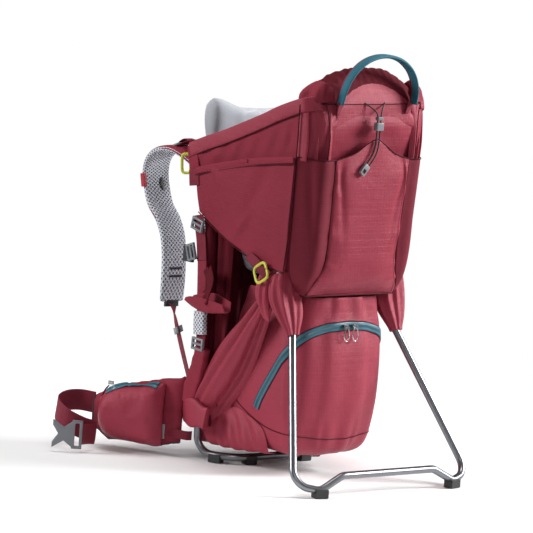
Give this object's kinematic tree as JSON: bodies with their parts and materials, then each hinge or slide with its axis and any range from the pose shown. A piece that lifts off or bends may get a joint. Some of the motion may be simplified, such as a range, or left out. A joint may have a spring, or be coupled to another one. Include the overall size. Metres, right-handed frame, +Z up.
{
  "type": "baby carrier backpack",
  "caption": "Framed child carrier backpack standing on a fold-out kickstand, with padded cabin, zipped lower bag, hip belt and shoulder straps.",
  "frame": {"origin": "middle of the footprint, on the ground", "axes": "+Z up, +Y towards the wearer's back, +X to the side, X = 0 the plane of symmetry"},
  "size_m": [0.6754, 0.6038, 0.7398],
  "materials": {
    "tube": "satin",
    "steel": "satin",
    "black_plastic": "matt",
    "grey_plastic": "matt",
    "yellow_plastic": "matt",
    "rubber": "matt",
    "main_fabric": "woven",
    "side_fabric": "woven",
    "lining": "brushed",
    "mesh": "spacer mesh",
    "webbing": "woven",
    "teal": "woven",
    "red_plastic": "matt"
  },
  "bodies": {
    "pack": {"frame_uprights": "tube", "frame_base_loop": "tube", "frame_cross_bar": "tube", "rear_hoop": "tube", "side_struts": "tube", "hinge_brackets": "black_plastic", "hinge_pins": "steel", "base_feet": "rubber", "side_panels": "side_fabric", "side_pockets": "side_fabric", "rear_panel": "main_fabric", "rear_pocket": "main_fabric", "corner_pockets": "side_fabric", "headrest": "main_fabric", "seat_back_pad": "lining", "chin_pad": "lining", "lower_bag": "main_fabric", "bag_zip": "teal", "side_wings": "side_fabric", "hinge_covers": "side_fabric", "back_panel": "mesh", "lumbar_pad": "mesh", "pocket_cord": "webbing", "cord_end": "grey_plastic", "stirrup_straps": "webbing", "ladder_locks": "black_plastic", "strap_webbings": "webbing", "strap_adjusters": "black_plastic", "entry_buckles": "yellow_plastic"},
    "kickstand": {"kickstand_loop": "tube", "kickstand_eyes": "black_plastic", "kickstand_feet": "rubber"},
    "seat": {"seat_pad": "lining", "harness_straps": "webbing", "harness_buckle": "grey_plastic"},
    "yoke": {"yoke_plate": "grey_plastic", "shoulder_strap_left": "mesh", "shoulder_strap_right": "mesh", "load_lifters": "webbing"},
    "sternum_clip_left": {"sternum_slider_left": "red_plastic"},
    "sternum_clip_right": {"sternum_slider_right": "red_plastic"},
    "hip_fin_left": {"hip_fin_left": "side_fabric", "hip_pocket_left": "main_fabric"},
    "hip_fin_right": {"hip_fin_right": "side_fabric", "hip_pocket_right": "main_fabric"},
    "hip_zip_left": {"hip_zip_slider_left": "steel"},
    "hip_zip_right": {"hip_zip_slider_right": "steel"},
    "hip_belt_left": {"hip_webbing_left": "webbing", "hip_buckle_male": "grey_plastic"},
    "hip_belt_right": {"hip_webbing_right": "webbing", "hip_buckle_female": "grey_plastic"},
    "bag_slider_left": {"zip_slider_left": "steel"},
    "bag_slider_right": {"zip_slider_right": "steel"},
    "bag_pull_left": {"zip_pull_left": "steel"},
    "bag_pull_right": {"zip_pull_right": "steel"},
    "stirrup_left": {"stirrup_left": "side_fabric"},
    "stirrup_right": {"stirrup_right": "side_fabric"},
    "haul_handle": {"haul_handle": "teal"},
    "cord_lock": {"cord_lock_barrel": "black_plastic"},
    "cord_lock_button": {"cord_lock_button": "black_plastic"}
  },
  "joints": [
    {"name": "kickstand_fold", "type": "hinge", "parent": "pack", "child": "kickstand", "pos_m": [0, -0.11157, 0.33], "axis": [1, 0, 0], "range_deg": [0, 42]},
    {"name": "seat_height", "type": "slide", "parent": "pack", "child": "seat", "axis": [0, 0, 1], "range_m": [0, 0.03]},
    {"name": "yoke_height", "type": "slide", "parent": "pack", "child": "yoke", "axis": [0, 0.1959, 0.9806], "range_m": [0, 0.06]},
    {"name": "sternum_clip_left_slide", "type": "slide", "parent": "yoke", "child": "sternum_clip_left", "axis": [0, 0.2425, 0.9702], "range_m": [0, 0.025]},
    {"name": "hip_fin_left_wrap", "type": "hinge", "parent": "pack", "child": "hip_fin_left", "pos_m": [-0.132, 0.08643, 0.076], "axis": [0, 0, -1], "range_deg": [-20, 15]},
    {"name": "hip_pocket_left_zip", "type": "slide", "parent": "hip_fin_left", "child": "hip_zip_left", "axis": [0.4318, -0.8853, 0.1725], "range_m": [0, 0.07]},
    {"name": "hip_belt_left_swing", "type": "hinge", "parent": "hip_fin_left", "child": "hip_belt_left", "pos_m": [-0.21617, 0.259, 0.032], "axis": [0, 0, -1], "range_deg": [-15, 35]},
    {"name": "bag_slider_left_run", "type": "hinge", "parent": "pack", "child": "bag_slider_left", "pos_m": [0, -0.10881, 0.19366], "axis": [0, 0.8258, 0.5639], "range_deg": [0, 24]},
    {"name": "bag_pull_left_swing", "type": "hinge", "parent": "bag_slider_left", "child": "bag_pull_left", "pos_m": [0.01, -0.16927, 0.26757], "axis": [-1, 0, 0], "range_deg": [0, 75]},
    {"name": "stirrup_left_swing", "type": "hinge", "parent": "pack", "child": "stirrup_left", "pos_m": [-0.142, 0.04043, 0.336], "axis": [0, 1, 0], "range_deg": [0, 60]},
    {"name": "sternum_clip_right_slide", "type": "slide", "parent": "yoke", "child": "sternum_clip_right", "axis": [0, 0.2425, 0.9702], "range_m": [0, 0.025]},
    {"name": "hip_fin_right_wrap", "type": "hinge", "parent": "pack", "child": "hip_fin_right", "pos_m": [0.132, 0.08643, 0.076], "axis": [0, 0, 1], "range_deg": [-20, 15]},
    {"name": "hip_pocket_right_zip", "type": "slide", "parent": "hip_fin_right", "child": "hip_zip_right", "axis": [-0.4318, -0.8853, 0.1725], "range_m": [0, 0.07]},
    {"name": "hip_belt_right_swing", "type": "hinge", "parent": "hip_fin_right", "child": "hip_belt_right", "pos_m": [0.21617, 0.259, 0.032], "axis": [0, 0, 1], "range_deg": [-15, 35]},
    {"name": "bag_slider_right_run", "type": "hinge", "parent": "pack", "child": "bag_slider_right", "pos_m": [0, -0.10881, 0.19366], "axis": [0, -0.8258, -0.5639], "range_deg": [0, 24]},
    {"name": "bag_pull_right_swing", "type": "hinge", "parent": "bag_slider_right", "child": "bag_pull_right", "pos_m": [-0.01, -0.16927, 0.26757], "axis": [-1, 0, 0], "range_deg": [0, 75]},
    {"name": "stirrup_right_swing", "type": "hinge", "parent": "pack", "child": "stirrup_right", "pos_m": [0.142, 0.04043, 0.336], "axis": [0, -1, 0], "range_deg": [0, 60]},
    {"name": "haul_handle_flex", "type": "hinge", "parent": "pack", "child": "haul_handle", "pos_m": [0, -0.18957, 0.658], "axis": [1, 0, 0], "range_deg": [-10, 30], "stiffness_Nm_per_rad": 0.6},
    {"name": "cord_lock_run", "type": "slide", "parent": "pack", "child": "cord_lock", "axis": [0, 0, -1], "range_m": [0, 0.015]},
    {"name": "cord_lock_press", "type": "slide", "parent": "cord_lock", "child": "cord_lock_button", "axis": [0, 0, -1], "range_m": [0, 0.003], "stiffness_N_per_m": 400, "springref_m": -0.001}
  ]
}
